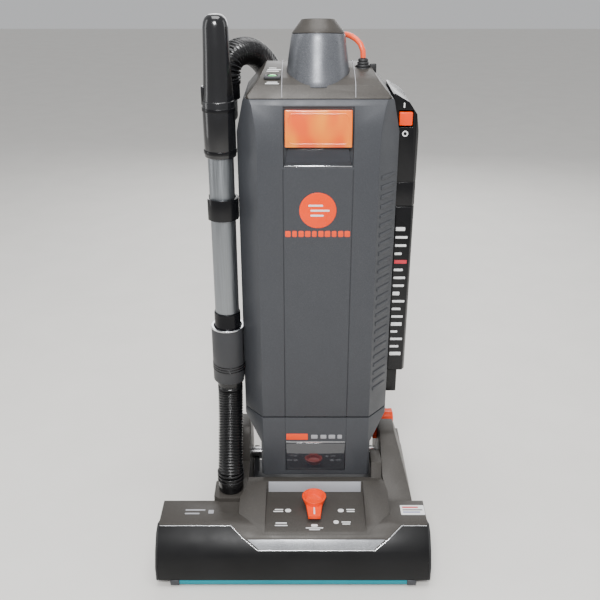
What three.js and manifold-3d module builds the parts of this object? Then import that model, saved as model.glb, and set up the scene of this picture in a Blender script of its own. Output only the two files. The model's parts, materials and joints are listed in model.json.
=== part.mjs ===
// Commercial upright vacuum cleaner: a wide floor head, a reclining body with a
// bag bay behind a tall door, a stowed wand, and a power cord wound on two hooks.
// Millimetres, +Z up. The front faces -Y and +X is the machine's right as seen from
// the front. Pieces are laid out from the bumper's front (y = 0) and the body's centre
// plane (x = 0); the whole group is then moved so that the origin is the centre of
// the footprint, on the floor.
import * as THREE from "three";
import { mergeVertices } from "three/addons/utils/BufferGeometryUtils.js";
import Module from "manifold-3d";

const wasm = await Module();
wasm.setup();

// ---- driving dimensions ----
const GAP = 0.4;
const WALL = 3;

const HEAD_LEFT = -237;
const HEAD_RIGHT = 169;
const GUARD_THICK = 4;
const HEAD_BACK = 95;
const SKIN_LOW = 12.4;
const BUMPER_THICK = 6;
const CHAMBER_WALL = 9;

const FACE_Y = 131;
const FACE_HALF = 80.5;
const BODY_HALF = 108.5;
const BODY_BACK = 295;
const BODY_LOW = 105;
const SPLIT_Y = 172;
const DOOR_LOW = 212.5;
const DOOR_TOP = 686.5;
const TOP_SEAM = 687.3;
const LOWER_TOP = 210.4;

const PIVOT = { y: 255, z: 60 };
const WHEEL = { y: 275, z: 36, r: 36 };
const BRUSH = { y: 48, z: 30 };
const BRUSH_MOTOR = { y: 110.5, z: 52 };
const BELT_X = [91.5, 100.5];
const KNOB = { x: -2.5, y: 83 };
const CARRIAGE = { y: 150, z: 22 };
const ROLLER = { y: 100, z: 12, r: 12 };

const WAND = { x: -131, y: 164 };
const HOSE_CUFF = { x: -122, y: 203, top: 702 };
const HOSE_R = 19;
const PORT = { x: -38, y: 319.5, z: 502 };
const INLET_Z = 472;

const CORD_R = 3.75;
const HOOK = { x: 55, low: 290, high: 640, r: 28, back: 341 };
const WINDING = { inner: 30, outer: 52.5, front: 305, back: 335 };

const ORIGIN = new THREE.Vector3((HEAD_LEFT + HEAD_RIGHT) / 2, HOOK.back / 2, 0);

// ---- colours and finishes ----
const finish = (color, roughness, metalness = 0) =>
  new THREE.MeshStandardMaterial({ color, roughness, metalness });
const GREY = () => finish(0x5a5b5c, 0.5);
const WARM_GREY = () => finish(0x6a6660, 0.5);
const DARK_GREY = () => finish(0x3a3b3d, 0.6);
const BLACK = () => finish(0x17181a, 0.4);
const RUBBER = () => finish(0x202022, 0.8);
const ORANGE = () => finish(0xf2622a, 0.3);
const STEEL = () => finish(0xb9babd, 0.3, 1);
const TEAL = () => finish(0x3fa6b0, 0.5);
const CLEAR = () => finish(0x2a2e36, 0.1);
const PAPER = () => finish(0xe6e2d6, 0.9);

// ---- solids ----
// A geometry's closed surface as a solid that can be joined and cut.
function solid(geometry) {
  const bare = geometry.clone();
  bare.deleteAttribute("normal");
  bare.deleteAttribute("uv");
  const merged = mergeVertices(bare, 1e-4);
  const index = merged.index.array;
  const kept = [];
  for (let k = 0; k < index.length; k += 3) {
    const [a, b, c] = [index[k], index[k + 1], index[k + 2]];
    if (a !== b && b !== c && c !== a) kept.push(a, b, c);
  }
  return new wasm.Manifold(new wasm.Mesh({
    numProp: 3,
    vertProperties: new Float32Array(merged.attributes.position.array),
    triVerts: new Uint32Array(kept),
  }));
}

function geometryOf(body) {
  const mesh = body.getMesh();
  const geometry = new THREE.BufferGeometry();
  geometry.setAttribute("position", new THREE.BufferAttribute(mesh.vertProperties, 3));
  geometry.setIndex(new THREE.BufferAttribute(mesh.triVerts, 1));
  geometry.computeVertexNormals();
  return geometry;
}

const join = (...bodies) => bodies.reduce((sum, body) => sum.add(body));

function box(x0, x1, y0, y1, z0, z1) {
  const geometry = new THREE.BoxGeometry(x1 - x0, y1 - y0, z1 - z0);
  geometry.translate((x0 + x1) / 2, (y0 + y1) / 2, (z0 + z1) / 2);
  return solid(geometry);
}

// Prisms: an outline of [a, b] points in the plane across the named axis.
const AXES = {
  x: new THREE.Matrix4().makeBasis(vec(0, 1, 0), vec(0, 0, 1), vec(1, 0, 0)),
  y: new THREE.Matrix4().makeBasis(vec(1, 0, 0), vec(0, 0, 1), vec(0, -1, 0)),
  z: new THREE.Matrix4(),
};

function vec(x, y, z) {
  return new THREE.Vector3(x, y, z);
}

function prism(axis, outline, from, to) {
  const shape = new THREE.Shape(outline.map(([a, b]) => new THREE.Vector2(a, b)));
  const geometry = new THREE.ExtrudeGeometry(shape, { depth: to - from, bevelEnabled: false });
  geometry.applyMatrix4(AXES[axis]);
  const shift = { x: [from, 0, 0], y: [0, to, 0], z: [0, 0, from] }[axis];
  geometry.translate(...shift);
  return solid(geometry);
}

// An outline moved inwards by d all round; its points run anticlockwise.
function inset(points, d) {
  const n = points.length;
  const normal = (p, q) => {
    const length = Math.hypot(q[0] - p[0], q[1] - p[1]);
    return [-(q[1] - p[1]) / length, (q[0] - p[0]) / length];
  };
  return points.map((p, k) => {
    const a = normal(points[(k + n - 1) % n], p);
    const b = normal(p, points[(k + 1) % n]);
    const s = d / (1 + a[0] * b[0] + a[1] * b[1]);
    return [p[0] + s * (a[0] + b[0]), p[1] + s * (a[1] + b[1])];
  });
}

// The right half of an outline, bottom to top, completed by its mirror image.
const mirrored = (half) => [...half, ...half.map(([a, b]) => [-a, b]).reverse()];

// The outline of a band stretched round two circles.
function loop([ay, az], ra, [by, bz], rb, steps = 12) {
  const along = Math.atan2(bz - az, by - ay);
  const lean = Math.acos((ra - rb) / Math.hypot(by - ay, bz - az));
  const points = [];
  for (let k = 0; k <= steps; k++) {
    const t = along - lean + (2 * lean * k) / steps;
    points.push([by + rb * Math.cos(t), bz + rb * Math.sin(t)]);
  }
  for (let k = 0; k <= steps; k++) {
    const t = along + lean + ((2 * Math.PI - 2 * lean) * k) / steps;
    points.push([ay + ra * Math.cos(t), az + ra * Math.sin(t)]);
  }
  return points;
}

function disc([a, b], r, steps = 24) {
  return Array.from({ length: steps }, (_, k) => {
    const t = (2 * Math.PI * k) / steps;
    return [a + r * Math.cos(t), b + r * Math.sin(t)];
  });
}

const rod = (axis, centre, r, from, to, steps = 24) =>
  prism(axis, disc(centre, r, steps), from, to);

// A turned piece about the Z axis from [radius, height] points.
const turned = (profile, steps = 32) =>
  solid(new THREE.LatheGeometry(profile.map(([r, z]) => new THREE.Vector2(r, z)), steps)
    .rotateX(Math.PI / 2));

function tube(points, r, sides, steps) {
  const curve = new THREE.CatmullRomCurve3(points.map((p) => vec(...p)));
  const shape = new THREE.Shape(disc([0, 0], r, sides).map(([a, b]) => new THREE.Vector2(a, b)));
  return new THREE.ExtrudeGeometry(shape, { steps, bevelEnabled: false, extrudePath: curve });
}

// ---- the group ----
const group = new THREE.Group();
group.position.copy(ORIGIN).negate();

function piece(name, shape, material) {
  const body = shape instanceof THREE.BufferGeometry ? solid(shape) : shape;
  const geometry = geometryOf(body);
  const mesh = new THREE.Mesh(geometry, material);
  mesh.name = name;
  group.add(mesh);
}

// ---- the body's outer form, moved inwards by d ----
const BODY_PLAN = mirrored([
  [FACE_HALF, FACE_Y],
  [BODY_HALF, FACE_Y + 33],
  [BODY_HALF, BODY_BACK - 12],
  [BODY_HALF - 12, BODY_BACK],
]);
const BODY_FRONT = mirrored([
  [84, BODY_LOW],
  [84, 165],
  [BODY_HALF, 200],
  [BODY_HALF, 640],
  [99, 683],
  [78, 708],
  [66, 726],
]);
const BODY_SIDE = [
  [FACE_Y, BODY_LOW],
  [262, BODY_LOW],
  [BODY_BACK, 150],
  [BODY_BACK, 670],
  [283, 700],
  [262, 716],
  [235, 721],
  [200, 718],
  [165, 710],
  [150, 703],
  [139, 680],
  [133, 652],
  [FACE_Y, 620],
];

function bodyForm(d) {
  const plan = prism("z", inset(BODY_PLAN, d), 90, 740);
  const front = prism("y", inset(BODY_FRONT, d), 100, 320);
  const side = prism("x", inset(BODY_SIDE, d), -130, 130);
  return plan.intersect(front).intersect(side);
}

const BODY = bodyForm(0);
const BODY_INSIDE = bodyForm(WALL);
const BODY_KEEP_OUT = bodyForm(-GAP);
const BODY_SKIN = BODY.subtract(BODY_INSIDE);

// ---- floor head ----
const HOOD_SIDE = [
  [0, SKIN_LOW], [HEAD_BACK, SKIN_LOW], [HEAD_BACK, 81], [88, 88],
  [45, 88], [33, 85], [20, 74], [9, 60], [3, 46], [0, 32],
];
const COVER_PLAN = [
  [-79, 24], [78, 24], [111, 58], [111, 100], [104, 128],
  [-104, 128], [-108, 104], [-116, 88], [-116, 58],
];
const COVER_LOW = 66;
const COVER_BACK = 128;
const COVER_SIDE = [
  [24, COVER_LOW], [HEAD_BACK + 0.5, COVER_LOW], [HEAD_BACK + 0.5, 13], [COVER_BACK, 13],
  [COVER_BACK, 102], [118, 102], [60, 89], [40, 84], [24, 76],
];
const COVER_POST = [[112, 60], [180, 60], [180, 108], [170, 124], [136, 124], [126, 101], [112, 97]];
const RECESS = { left: -76, right: 74, front: 30, back: 112, top: 118, low: 79, high: 85 };

function coverForm(d) {
  return prism("z", inset(COVER_PLAN, d), 0, 200)
    .intersect(prism("x", inset(COVER_SIDE, d), -130, 130));
}

// The room that the housing leaves for the cover, open above it.
function coverSpace() {
  return prism("z", inset(COVER_PLAN, -GAP), 0, 200).intersect(prism("x", [
    [24 - GAP, COVER_LOW - GAP], [HEAD_BACK, COVER_LOW - GAP], [HEAD_BACK, 0],
    [COVER_BACK + GAP, 0], [COVER_BACK + GAP, 200], [24 - GAP, 200],
  ], -130, 130));
}

// The bumper's front outline: full height at the ends and lower across the middle.
function bumperMask(d) {
  const outline = inset([
    [HEAD_LEFT + GUARD_THICK + GAP, SKIN_LOW],
    [HEAD_RIGHT - GUARD_THICK - GAP, SKIN_LOW],
    [HEAD_RIGHT - GUARD_THICK - GAP, 85],
    [125.5, 85], [85.5, 60], [-85.5, 60], [-125.5, 85],
    [HEAD_LEFT + GUARD_THICK + GAP, 85],
  ], d);
  return prism("y", outline, -10, 36);
}

const hoodBlock = (d, left, right) => prism("x", inset(HOOD_SIDE, d), left, right);
const inLeft = HEAD_LEFT + GUARD_THICK + GAP;
const inRight = HEAD_RIGHT - GUARD_THICK - GAP;

const ARM_FRONT = [[105.5, SKIN_LOW], [148, SKIN_LOW], [148, 88], [127, 150], [105.5, 150]];
const ARM_RIGHT_SIDE = [
  [85, SKIN_LOW], [296, SKIN_LOW], [296, 76], [290, 84], [233, 84], [233, 138],
  [226, 146], [194, 146], [184, 142], [150, 118], [95, 90], [85, 86],
];
const ARM_LEFT_SIDE = [
  [85, SKIN_LOW], [296, SKIN_LOW], [296, 76], [262, 128], [246, 143], [226, 148],
  [204, 146], [194, 134], [189, 112], [184, 92], [150, 86], [85, 84],
];
const flipX = (points) => points.map(([a, b]) => [-a, b]).reverse();
const ARM_LEFT_FRONT = flipX([[106, SKIN_LOW], [140, SKIN_LOW], [140, 88], [126, 150], [106, 150]]);
const HOSE_NECK = [[-148, 85], [-107, 85], [-107, 136], [-148, 136], [-156, 126], [-156, 92]];
const HOSE_NECK_TOP = 94.6;

// An outline moved inwards whose low points go down through the floor of the shape.
const OPEN_UNDER = 30;
function openBelow(points, d) {
  return inset(points, d).map(([a, b]) => [a, b < OPEN_UNDER ? 0 : b]);
}

// A hollow arm, open underneath, where a side outline meets a front outline.
function arm(side, front) {
  const block = (a, b) => prism("x", a, -160, 160).intersect(prism("y", b, 80, 300));
  return block(side, front).subtract(block(openBelow(side, WALL), openBelow(front, WALL)));
}

function nozzleHousing() {
  const hood = hoodBlock(0, inLeft, inRight);
  const neck = prism("z", HOSE_NECK, SKIN_LOW, HOSE_NECK_TOP);
  const shell = join(
    hood,
    arm(ARM_RIGHT_SIDE, ARM_FRONT),
    arm(ARM_LEFT_SIDE, ARM_LEFT_FRONT),
    neck,
  );
  const bumperSpace = hoodBlock(-1, inLeft - 1, inRight + 1)
    .subtract(hoodBlock(BUMPER_THICK + GAP, inLeft - 2, inRight + 2))
    .intersect(bumperMask(-GAP));
  const cuts = [
    prism("x", openBelow(HOOD_SIDE, CHAMBER_WALL), inLeft + WALL, inRight - WALL),
    bumperSpace,
    coverSpace(),
    box(88, 104, 80, 100, 18, 66),
    box(-62, 62, 84, 100, 0, 32),
    rod("z", [-131, 112], 15, 36, 100),
    rod("y", [-131, 50], 14, 70, 112),
    rod("x", [WHEEL.y, WHEEL.z], WHEEL.r + 3, 109, 137),
    rod("x", [WHEEL.y, WHEEL.z], WHEEL.r + 3, -137, -109),
    rod("x", [WHEEL.y, WHEEL.z], 5.6, -150, 150),
    rod("x", [PIVOT.y, PIVOT.z], 8.5, -112, 112),
  ];
  return cuts.reduce((body, cut) => body.subtract(cut), shell);
}

function nozzleCover() {
  const recess = prism("x", [
    [RECESS.front, RECESS.low], [RECESS.back, RECESS.high], [RECESS.top, 103], [RECESS.front, 103],
  ], RECESS.left, RECESS.right);
  const tray = prism("x", [
    [RECESS.front - WALL, RECESS.low - WALL], [RECESS.back + WALL, RECESS.high - WALL],
    [RECESS.top + WALL, 103], [RECESS.front - WALL, 103],
  ], RECESS.left - WALL, RECESS.right + WALL);
  const hollow = prism("z", inset(COVER_PLAN, WALL), 0, 200).intersect(prism("x", [
    [27, 0], [125, 0], [125, 99], [118, 98.5], [60, 85.5], [40, 80.5], [27, 74],
  ], -130, 130));
  const post = prism("x", COVER_POST, 88, 104);
  return coverForm(0).subtract(hollow.subtract(tray)).subtract(recess).add(post.subtract(hollow))
    .subtract(box(-62, 62, 120, 130, 0, 32));
}

function nozzleBase() {
  const plate = join(
    box(inLeft, inRight, 14.5, 96, 4, 12),
    box(-140, 148, 95, 296, 4, 12),
  );
  const lugs = [-1, 1].flatMap((s) => [
    box(Math.min(s * 96, s * 104), Math.max(s * 96, s * 104), 263, 287, 11, 50),
    box(Math.min(s * 64, s * 70), Math.max(s * 64, s * 70), 143, 157, 11, 30),
  ]);
  const cuts = [
    box(-208, 140, 20, 76, 0, 20),
    box(-61, 61, 84, 160, 0, 13),
    box(109, 137, 236, 300, 0, 13),
    box(-137, -109, 236, 300, 0, 13),
    rod("x", [WHEEL.y, WHEEL.z], 5.5, -150, 150),
    rod("x", [CARRIAGE.y, CARRIAGE.z], 4.5, -80, 80),
  ];
  return cuts.reduce((body, cut) => body.subtract(cut), join(plate, ...lugs));
}

function addFloorHead() {
  piece("nozzle_housing", nozzleHousing(), WARM_GREY());
  piece("nozzle_cover", nozzleCover(), WARM_GREY());
  piece("nozzle_base", nozzleBase(), DARK_GREY());
  const bumper = hoodBlock(0, inLeft, inRight)
    .subtract(hoodBlock(BUMPER_THICK, inLeft - 1, inRight + 1))
    .intersect(bumperMask(0))
    .subtract(box(inLeft, inRight, 12, 60, 0, 25));
  piece("front_bumper", bumper, RUBBER());
  const guard = [[2, 10], [70, 10], [76, 20], [76, 66], [46, 80], [30, 76], [12, 56], [2, 34]];
  piece("end_guard_left", prism("x", guard, HEAD_LEFT, HEAD_LEFT + GUARD_THICK), BLACK());
  piece("end_guard_right", prism("x", guard, HEAD_RIGHT - GUARD_THICK, HEAD_RIGHT), BLACK());
  piece("base_lip", prism("x", [[0, 4], [14, 4], [14, 12], [0, 12]], -214, 146), TEAL());
}

// ---- brush drive ----
function addBrushDrive() {
  const fins = [0, 1, 2, 3].map((k) => solid(
    new THREE.BoxGeometry(1, 4, 9).translate(0, 0, 18.8).rotateX((k * Math.PI) / 2),
  ));
  const stretch = (fin, from, to) =>
    fin.scale([to - from, 1, 1]).translate([(from + to) / 2, BRUSH.y, BRUSH.z]);
  const roll = join(
    rod("x", [BRUSH.y, BRUSH.z], 15, -206, 88),
    rod("x", [BRUSH.y, BRUSH.z], 14, 87, 105),
    rod("x", [BRUSH.y, BRUSH.z], 15, 104, 138),
    rod("x", [BRUSH.y, BRUSH.z], 5, -216, 148),
    ...fins.map((fin) => stretch(fin, -200, 84)),
    ...fins.map((fin) => stretch(fin, 108, 134)),
  );
  piece("brush_roll", roll, BLACK());
  for (const [name, x] of [["brush_bearing_left", -217], ["brush_bearing_right", 140]]) {
    const bore = rod("x", [BRUSH.y, BRUSH.z], 5.5, x - 1, x + 10);
    piece(name, box(x, x + 9, 36, 60, SKIN_LOW, 44).subtract(bore), BLACK());
  }
  const a = [BRUSH.y, BRUSH.z];
  const b = [BRUSH_MOTOR.y, BRUSH_MOTOR.z];
  piece("brush_motor", rod("x", b, 14, -34, 66).subtract(rod("x", b, 4.6, 40, 70)), STEEL());
  piece("motor_shaft", join(rod("x", b, 4, 42, 101.5), rod("x", b, 8, 90.5, 101.5)), STEEL());
  const belt = prism("x", loop(a, 16.6, b, 10.6), ...BELT_X)
    .subtract(prism("x", loop(a, 14.6, b, 8.6), BELT_X[0] - 1, BELT_X[1] + 1));
  piece("brush_belt", belt, RUBBER());
}

// ---- wheels, height adjuster and pedal ----
const PEDAL = { y: 246, z: 106 };
const PEDAL_SIDE = [
  [238, 98], [262, 98], [284, 120], [282, 128], [268, 140], [252, 143], [243, 139], [238, 128],
];
function addRunningGear() {
  const c = [WHEEL.y, WHEEL.z];
  piece("rear_axle", rod("x", c, 5, -137, 137), STEEL());
  for (const [name, x] of [["rear_wheel_left", -134], ["rear_wheel_right", 112]]) {
    const tyre = rod("x", c, WHEEL.r, x, x + 22, 40);
    piece(name, tyre.subtract(rod("x", c, 5.5, x - 1, x + 23)), RUBBER());
  }
  const r = [ROLLER.y, ROLLER.z];
  const p = [CARRIAGE.y, CARRIAGE.z];
  piece("wheel_carriage", join(
    rod("x", p, 4, -71, 71),
    rod("x", r, 3, -56, 56),
    prism("x", loop(p, 7, r, 6), 26, 34),
    prism("x", loop(p, 7, r, 6), -34, -26),
  ), STEEL());
  for (const [name, x] of [["front_roller_left", -54], ["front_roller_right", 38]]) {
    piece(name, rod("x", r, ROLLER.r, x, x + 16).subtract(rod("x", r, 3.4, x - 1, x + 17)), RUBBER());
  }
  const knob = turned([[0, 0], [14, 0], [18.3, 14.5], [15.3, 14.5], [12, 7], [0, 7]])
    .add(prism("z", [[-9, -36], [9, -36], [13, -4], [-13, -4]], 0, 6.5));
  piece("height_knob", knob.translate([KNOB.x, KNOB.y, 86.8]), ORANGE());
  const pivot = [PEDAL.y, PEDAL.z];
  piece("pedal", prism("x", PEDAL_SIDE, 99, 133).add(rod("x", pivot, 5, 90, 100)), ORANGE());
  piece("pedal_spring", rod("x", pivot, 9, 91, 98).subtract(rod("x", pivot, 5.6, 90, 99)), STEEL());
  piece("pivot_pin_left", rod("x", [PIVOT.y, PIVOT.z], 8, -110.5, -66), STEEL());
  piece("pivot_pin_right", rod("x", [PIVOT.y, PIVOT.z], 8, 66, 110.5), STEEL());
}

// ---- body shells ----
const LATCH_SIDE = [[129.5, 627], [140.5, 627], [140.5, 674], [136, 674], [131, 650]];
const LATCH_SPRING = [0, 640];
function addBodyShells() {
  const ears = [-1, 1].map((s) => prism("x", loop([PIVOT.y, PIVOT.z], 18, [PIVOT.y, 92], 17),
    Math.min(s * 70, s * 82), Math.max(s * 70, s * 82)));
  const yoke = join(box(-82, 82, 180, 262, 96, 104.4), ...ears)
    .subtract(box(-90, 90, 200, 320, 104.4, 130))
    .subtract(rod("x", [PIVOT.y, PIVOT.z], 8.5, -90, 90));
  piece("pivot_frame", yoke, DARK_GREY());

  const shelf = BODY.intersect(box(-120, 120, SPLIT_Y + GAP, 294, 203, 206))
    .subtract(rod("z", [0, 215], 30, 200, 210));
  const inlet = rod("y", [PORT.x, INLET_Z], 14, 280, 322);
  const elbow = join(rod("z", [PORT.x, PORT.y], 20.5, 446, PORT.z), box(-58, -18, 294, 324, 450, 494))
    .subtract(rod("z", [PORT.x, PORT.y], 15, 458, PORT.z + 1))
    .subtract(inlet);
  const rear = BODY_SKIN.intersect(box(-130, 130, SPLIT_Y + GAP, 300, 90, TOP_SEAM - GAP))
    .subtract(inlet);
  piece("rear_shell", join(rear, shelf, elbow), DARK_GREY());

  const window = box(-46.5, 46.5, 120, 140, 112.5, 165.5);
  const lower = BODY_SKIN.intersect(box(-130, 130, 120, SPLIT_Y, 90, LOWER_TOP));
  piece("lower_cover", lower.subtract(window), GREY());
  piece("headlight_lens", box(-46.1, 46.1, 130.4, 134, 113, 165), CLEAR());

  const block = BODY.intersect(box(-49.5, 49.5, 120, 145, 597, 682));
  const pocket = box(-46, 46, 110, 141, 600, 678);
  piece("bag_door", BODY_SKIN.intersect(box(-130, 130, 120, SPLIT_Y, DOOR_LOW, DOOR_TOP))
    .add(block).subtract(pocket), GREY());
  const latch = prism("x", LATCH_SIDE, -43.7, 43.7).subtract(rod("y", LATCH_SPRING, 6, 135, 142));
  const coil = rod("y", LATCH_SPRING, 4, 135.5, 140.6).subtract(rod("y", LATCH_SPRING, 2.6, 134, 142));
  piece("door_latch", latch, ORANGE());
  piece("latch_spring", coil, STEEL());

  const lamp = rod("z", [-60, 170], 7, 690, 713);
  piece("top_cover", BODY_SKIN.intersect(box(-130, 130, 120, 300, TOP_SEAM, 740))
    .subtract(socketForm(-GAP)).subtract(rod("z", [-60, 170], 7.4, 680, 720))
    .subtract(rod("z", [60, 204], 11, 680, 740)), WARM_GREY());
  piece("check_lamp", lamp, finish(0x35c060, 0.2));
  const bore = placedSocket(turned([[0, 20], [17, 20], [17, 90], [0, 90]]));
  piece("handle_socket", socketForm(0).subtract(bore), GREY());
}

// The upright handle's socket leans back with the handle.
const SOCKET_LEAN = 8;
function placedSocket(shape) {
  return shape.rotate([-SOCKET_LEAN, 0, 0]).translate([0, 193, 700]);
}
function socketForm(d) {
  return placedSocket(turned([
    [0, -6 + d], [44.8 - d, -6 + d], [35 - d, 61 - d], [22.5 - d, 79 - d], [0, 79 - d],
  ]));
}

// ---- what the body holds ----
const MOTOR_BASE = [0, 200, 112];
function addInternals() {
  const frame = (d) => box(-98 + d, 98 - d, 0, 400, 220 + d, 655 - d);
  piece("door_gasket", frame(0).subtract(frame(4)).intersect(box(-120, 120, 167.5, 171, 0, 700)), RUBBER());
  const bagPlan = mirrored([[84, 150], [92, 166], [92, 252], [84, 262]]);
  piece("dust_bag", prism("z", bagPlan, 226, 600), PAPER());
  const dock = box(-78, 2, 284, 291.5, 430, 520)
    .add(rod("y", [PORT.x, INLET_Z], 17, 266, 286))
    .subtract(rod("y", [PORT.x, INLET_Z], 14, 260, 295));
  piece("bag_dock", dock, BLACK());
  const can = turned([[0, 0], [50, 0], [50, 84], [47, 84], [47, 3], [0, 3]]);
  const fan = turned([
    [0, 12], [4, 12], [4, 20], [26, 20], [26, 54], [4, 54], [4, 64], [42, 64], [42, 78], [0, 78],
  ]);
  piece("motor_can", can.translate(MOTOR_BASE), STEEL());
  piece("motor_fan", fan.translate(MOTOR_BASE), BLACK());
}

// ---- right-hand module: switch, filter and its cover ----
const MODULE_PLAN = [[100, 178], [133, 178], [137, 184], [137, 277], [129, 285], [100, 285]];
const POD_CAP = [[80, 560], [137, 560], [137, 636], [133, 660], [122, 676], [103, 687], [80, 687]];
function moduleForm(d, low, high) {
  return prism("z", inset(MODULE_PLAN, d), low, high).subtract(BODY_KEEP_OUT);
}
function addModule() {
  const cap = prism("y", POD_CAP, 170, 290);
  const pocket = box(108, 128, 170, 194, 642.5, 665.5);
  const pod = moduleForm(0, 532, 690).intersect(cap).add(moduleForm(0, 532, 561));
  piece("switch_pod", pod.subtract(pocket), BLACK());
  piece("rocker_switch", box(109, 127, 176, 187, 645, 663).subtract(BODY_KEEP_OUT), ORANGE());
  const cover = moduleForm(0, 267, 531).intersect(box(110, 150, 170, 290, 0, 800));
  const room = prism("z", inset(MODULE_PLAN, WALL), 260, 540).subtract(box(134, 150, 170, 290, 0, 800));
  piece("filter_cover", cover.subtract(room), BLACK());
  piece("hepa_filter", box(112, 131, 190, 274, 290, 515), PAPER());
  piece("filter_latch", box(109.5, 127, 190, 222, 222, 262), BLACK());
}

// ---- wand, cup and hoses ----
const GRIP = [[0, 0], [20.5, 0], [18.8, 24], [17.2, 62], [16.4, 92], [14.2, 101], [9, 107.5], [0, 107.5]];
function addWand() {
  const [x, y] = [WAND.x, WAND.y];
  const ring = (r, inner, low, high) =>
    rod("z", [x, y], r, low, high, 32).subtract(rod("z", [x, y], inner, low - 1, high + 1, 32));
  piece("wand_tube", ring(17.5, 15.9, 340, 640), STEEL());
  piece("wand_cuff", ring(19.9, 18, 290, 376), BLACK());
  const tubeSpace = rod("z", [x, y], 18, 600, 641);
  const handle = join(
    rod("z", [x, y], 21.5, 607, 682, 32),
    turned(GRIP).translate([x, y, 681]),
    prism("z", loop([x, y], 18, [HOSE_CUFF.x, HOSE_CUFF.y], 17), 650, 676),
    box(-153, -146, 158, 170, 676, 700),
  ).subtract(tubeSpace).subtract(BODY_KEEP_OUT);
  piece("wand_handle", handle, BLACK());
  piece("hose_cuff", rod("z", [HOSE_CUFF.x, HOSE_CUFF.y], 17, 676.4, HOSE_CUFF.top), BLACK());
  const cup = rod("z", [x, y], 24.5, 263, 352, 32)
    .subtract(rod("z", [x, y], 20.8, 270, 360, 32));
  piece("wand_cup", cup.subtract(box(-109, -90, 100, 230, 200, 400)), BLACK());
  const clip = ring(22.5, 18.6, 520, 550).subtract(box(-160, x, y - 10, y + 10, 500, 560));
  piece("wand_clip", clip.subtract(box(-109, -90, 100, 230, 500, 600)), BLACK());
  piece("lower_hose", tube([
    [-131, 112, 95.8], [-131, 112, 108], [-131, 118, 135], [-131, 134, 170],
    [-131, 152, 206], [-131, 163, 238], [-131, 164, 252], [-131, 164, 262],
  ], 19.5, 12, 24), BLACK());
  piece("upper_hose", tube([
    [HOSE_CUFF.x, HOSE_CUFF.y, HOSE_CUFF.top + 0.8], [-122, 203, 711], [-119, 209, 724],
    [-111, 226, 731.5], [-101, 250, 732], [-91, 278, 726], [-78, 303, 711], [-64, 317, 686],
    [-52, 320.5, 650], [-43, 320.5, 605], [PORT.x, PORT.y, 560], [PORT.x, PORT.y, 525],
    [PORT.x, PORT.y, PORT.z + 0.5],
  ], HOSE_R, 12, 48), BLACK());
}

// ---- power cord ----
function addCord() {
  for (const [name, z] of [["cord_hook_upper", HOOK.high], ["cord_hook_lower", HOOK.low]]) {
    piece(name, join(
      rod("y", [HOOK.x, z], HOOK.r, BODY_BACK + GAP, HOOK.back - 4),
      rod("y", [HOOK.x, z], HOOK.r + 10, HOOK.back - 4.5, HOOK.back),
    ), BLACK());
  }
  const boot = turned([[0, 0], [10.5, 0], [10.5, 16], [6.5, 30], [0, 30]], 16);
  piece("strain_relief", boot.translate([60, 204, 699]), BLACK());
  piece("power_cord", tube([
    [60, 204, 729.4], [59.5, 204.5, 738], [55, 208, 748], [45, 217, 755], [35, 232, 756], [28, 250, 750],
    [24, 270, 739], [22, 288, 722], [21.3, 298, 700], [21.3, 300, 660], [21.3, 300, 600], [21.3, 300, 540],
  ], CORD_R, 8, 60), ORANGE());
  const band = (r) => loop([HOOK.x, HOOK.low], r, [HOOK.x, HOOK.high], r);
  piece("cord_winding", prism("y", band(WINDING.outer), WINDING.front, WINDING.back)
    .subtract(prism("y", band(WINDING.inner), WINDING.front - 1, WINDING.back + 1)), ORANGE());
  piece("cord_plug", rod("z", [13, 351], 13, 400, 448, 16), ORANGE());
}

addFloorHead();
addBrushDrive();
addRunningGear();
addBodyShells();
addInternals();
addModule();
addWand();
addCord();

export default group;
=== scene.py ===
import json
import math
import random

import bmesh
import bpy
from mathutils import Matrix, Vector


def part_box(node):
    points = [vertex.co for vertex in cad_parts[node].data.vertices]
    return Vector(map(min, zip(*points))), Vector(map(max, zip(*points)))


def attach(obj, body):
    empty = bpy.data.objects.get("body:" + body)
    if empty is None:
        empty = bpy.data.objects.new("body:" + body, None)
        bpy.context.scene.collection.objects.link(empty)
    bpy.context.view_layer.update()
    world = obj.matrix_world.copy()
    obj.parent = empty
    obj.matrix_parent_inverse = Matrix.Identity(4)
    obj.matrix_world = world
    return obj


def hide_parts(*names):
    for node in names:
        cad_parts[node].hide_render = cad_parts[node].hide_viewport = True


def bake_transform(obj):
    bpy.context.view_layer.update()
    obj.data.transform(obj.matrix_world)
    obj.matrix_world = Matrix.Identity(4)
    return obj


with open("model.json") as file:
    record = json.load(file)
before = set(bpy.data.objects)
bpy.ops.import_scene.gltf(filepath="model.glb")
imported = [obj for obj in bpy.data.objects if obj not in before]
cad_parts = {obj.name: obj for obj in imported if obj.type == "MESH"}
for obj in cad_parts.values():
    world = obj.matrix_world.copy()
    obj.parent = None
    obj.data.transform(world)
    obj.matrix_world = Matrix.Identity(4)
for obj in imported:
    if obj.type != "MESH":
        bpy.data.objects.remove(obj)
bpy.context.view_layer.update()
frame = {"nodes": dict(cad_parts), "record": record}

MM = 0.001
random.seed(7)
record = frame["record"]
BODY_OF = {n: b for b, names in record["behaviour"]["bodies"].items() for n in names}
SLOT_OF = {row["node"]: row["material_slot"] for row in record["subparts"]}

door_low, door_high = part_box("bag_door")
CENTRE_X = (door_low[0] + door_high[0]) / 2
FRONT_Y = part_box("front_bumper")[0][1]
RIGHT, BACK, UP = (1, 0, 0), (0, 1, 0), (0, 0, 1)
LEFT, FRONT, DOWN = (-1, 0, 0), (0, -1, 0), (0, 0, -1)


def point(x, y, z):
    return Vector((CENTRE_X + x * MM, FRONT_Y + y * MM, z * MM))


def span(name):
    """A CAD node's lowest and highest corner, in the layout's millimetres."""
    return [((x - CENTRE_X) / MM, (y - FRONT_Y) / MM, z / MM) for x, y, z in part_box(name)]


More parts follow.
